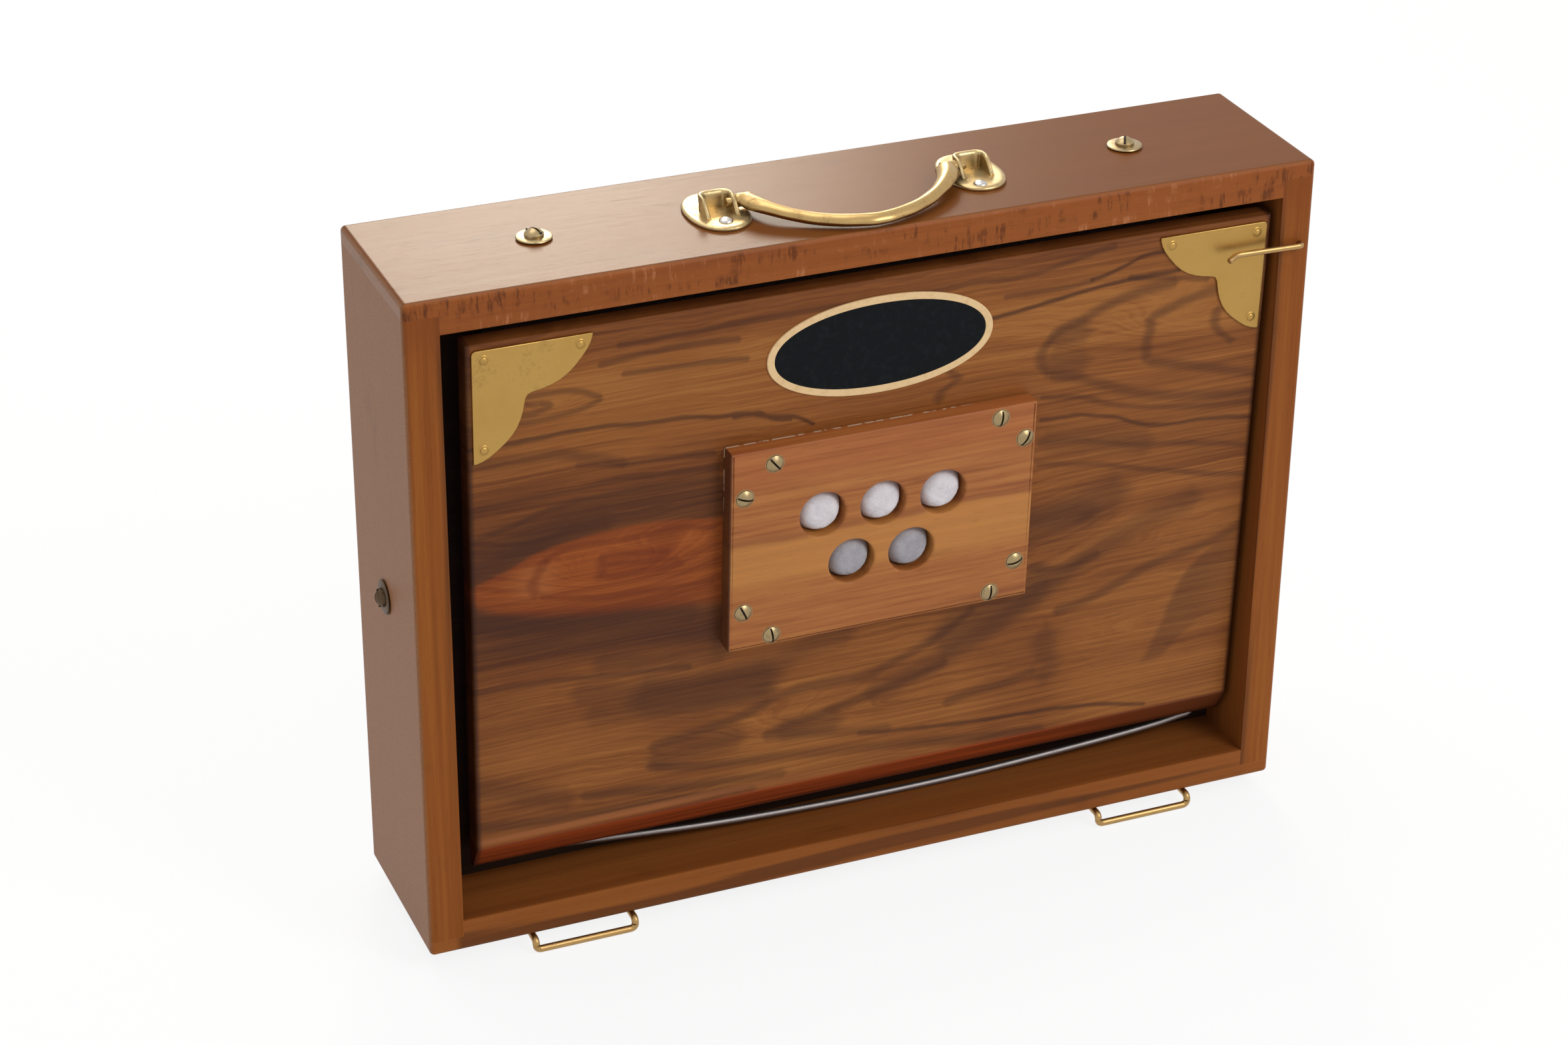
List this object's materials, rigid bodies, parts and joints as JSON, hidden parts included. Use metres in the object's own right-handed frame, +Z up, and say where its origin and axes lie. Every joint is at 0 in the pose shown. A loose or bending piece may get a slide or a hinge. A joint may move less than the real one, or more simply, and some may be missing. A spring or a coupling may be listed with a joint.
{
  "type": "shruti box",
  "caption": "Wooden shruti box with a hinged pump panel, a valve plate, a wire latch, a folding brass handle, and tuning levers and a sprung reservoir at the back.",
  "frame": {"origin": "on the surface that the wire feet stand on, under the middle of the case", "axes": "+X to the right seen from the front, +Y from the front to the back, +Z up"},
  "size_m": [0.4126, 0.0937, 0.3218],
  "materials": {
    "case_wood": "satin varnish",
    "panel_wood": "satin varnish, dark flowing figure",
    "valve_wood": "satin varnish, fine grain",
    "plain_wood": "bare",
    "lever_wood": "oiled",
    "brass": "worn polish with tarnish",
    "reed_brass": "bright",
    "steel": "drawn wire",
    "flap_leather": "pale suede",
    "bellows_leather": "folded skin"
  },
  "bodies": {
    "case": {"case_top": "case_wood", "case_bottom": "case_wood", "case_left": "case_wood", "case_right": "case_wood", "top_screw_left": "brass", "top_screw_right": "brass", "side_screw_left": "brass", "side_screw_right": "brass", "chest_frame": "plain_wood", "chest_front_board": "plain_wood", "chest_valve_flap": "flap_leather", "reed_board": "plain_wood", "reservoir_board": "plain_wood", "pump_hinge_batten": "plain_wood", "pump_bellows": "bellows_leather", "pump_spring": "steel", "reservoir_hinge_batten": "plain_wood", "reservoir_bellows": "bellows_leather", "reservoir_spring_left": "steel", "reservoir_spring_right": "steel", "wire_foot_left": "brass", "wire_foot_right": "brass", "foot_strap_left": "brass", "foot_strap_right": "brass", "handle_plate_left": "brass", "handle_plate_right": "brass", "reed_01": "reed_brass", "reed_02": "reed_brass", "reed_03": "reed_brass", "reed_04": "reed_brass", "reed_05": "reed_brass", "reed_06": "reed_brass", "reed_07": "reed_brass", "reed_08": "reed_brass", "reed_09": "reed_brass", "reed_10": "reed_brass", "reed_11": "reed_brass", "reed_12": "reed_brass", "reed_13": "reed_brass"},
    "pump": {"pump_panel": "panel_wood", "valve_plate": "valve_wood", "pump_valve_flap": "flap_leather", "brass_corner_left": "brass", "brass_corner_right": "brass"},
    "reservoir": {"reservoir_panel": "panel_wood"},
    "latch": {"latch_wire": "brass"},
    "handle": {"handle_bail": "brass"},
    "lever_01": {"tuning_lever_01": "lever_wood"},
    "lever_02": {"tuning_lever_02": "lever_wood"},
    "lever_03": {"tuning_lever_03": "lever_wood"},
    "lever_04": {"tuning_lever_04": "lever_wood"},
    "lever_05": {"tuning_lever_05": "lever_wood"},
    "lever_06": {"tuning_lever_06": "lever_wood"},
    "lever_07": {"tuning_lever_07": "lever_wood"},
    "lever_08": {"tuning_lever_08": "lever_wood"},
    "lever_09": {"tuning_lever_09": "lever_wood"},
    "lever_10": {"tuning_lever_10": "lever_wood"},
    "lever_11": {"tuning_lever_11": "lever_wood"},
    "lever_12": {"tuning_lever_12": "lever_wood"},
    "lever_13": {"tuning_lever_13": "lever_wood"}
  },
  "joints": [
    {"name": "pump_hinge", "type": "hinge", "parent": "case", "child": "pump", "pos_m": [0.004, -0.02095, 0.0502], "axis": [1, 0, 0], "range_deg": [-4, 0.6], "stiffness_Nm_per_rad": 4, "deforming": ["pump_bellows", "pump_spring"]},
    {"name": "reservoir_hinge", "type": "hinge", "parent": "case", "child": "reservoir", "pos_m": [0, 0.0203, 0.0275], "axis": [-1, 0, 0], "range_deg": [0, 6.5], "stiffness_Nm_per_rad": 3, "deforming": ["reservoir_bellows", "reservoir_spring_left", "reservoir_spring_right"]},
    {"name": "latch_turn", "type": "hinge", "parent": "case", "child": "latch", "pos_m": [0.197, -0.04275, 0.2758], "axis": [0, -1, 0], "range_deg": [0, 95]},
    {"name": "handle_fold", "type": "hinge", "parent": "case", "child": "handle", "pos_m": [0.0015, -0.005, 0.3186], "axis": [-1, 0, 0], "range_deg": [0, 180]},
    {"name": "lever_swing_01", "type": "hinge", "parent": "case", "child": "lever_01", "pos_m": [-0.159, 0.0154, 0.2082], "axis": [0, 1, 0], "range_deg": [0, 20]},
    {"name": "lever_swing_02", "type": "hinge", "parent": "case", "child": "lever_02", "pos_m": [-0.1325, 0.0154, 0.2082], "axis": [0, 1, 0], "range_deg": [0, 20]},
    {"name": "lever_swing_03", "type": "hinge", "parent": "case", "child": "lever_03", "pos_m": [-0.106, 0.0154, 0.2082], "axis": [0, 1, 0], "range_deg": [0, 20]},
    {"name": "lever_swing_04", "type": "hinge", "parent": "case", "child": "lever_04", "pos_m": [-0.0795, 0.0154, 0.2082], "axis": [0, 1, 0], "range_deg": [0, 20]},
    {"name": "lever_swing_05", "type": "hinge", "parent": "case", "child": "lever_05", "pos_m": [-0.053, 0.0154, 0.2082], "axis": [0, 1, 0], "range_deg": [0, 20]},
    {"name": "lever_swing_06", "type": "hinge", "parent": "case", "child": "lever_06", "pos_m": [-0.0265, 0.0154, 0.2082], "axis": [0, 1, 0], "range_deg": [0, 20]},
    {"name": "lever_swing_07", "type": "hinge", "parent": "case", "child": "lever_07", "pos_m": [0, 0.0154, 0.2082], "axis": [0, 1, 0], "range_deg": [0, 20]},
    {"name": "lever_swing_08", "type": "hinge", "parent": "case", "child": "lever_08", "pos_m": [0.0265, 0.0154, 0.2082], "axis": [0, 1, 0], "range_deg": [0, 20]},
    {"name": "lever_swing_09", "type": "hinge", "parent": "case", "child": "lever_09", "pos_m": [0.053, 0.0154, 0.2082], "axis": [0, 1, 0], "range_deg": [0, 20]},
    {"name": "lever_swing_10", "type": "hinge", "parent": "case", "child": "lever_10", "pos_m": [0.0795, 0.0154, 0.2082], "axis": [0, 1, 0], "range_deg": [0, 20]},
    {"name": "lever_swing_11", "type": "hinge", "parent": "case", "child": "lever_11", "pos_m": [0.106, 0.0154, 0.2082], "axis": [0, 1, 0], "range_deg": [0, 20]},
    {"name": "lever_swing_12", "type": "hinge", "parent": "case", "child": "lever_12", "pos_m": [0.1325, 0.0154, 0.2082], "axis": [0, 1, 0], "range_deg": [0, 20]},
    {"name": "lever_swing_13", "type": "hinge", "parent": "case", "child": "lever_13", "pos_m": [0.159, 0.0154, 0.2082], "axis": [0, 1, 0], "range_deg": [0, 20]}
  ]
}
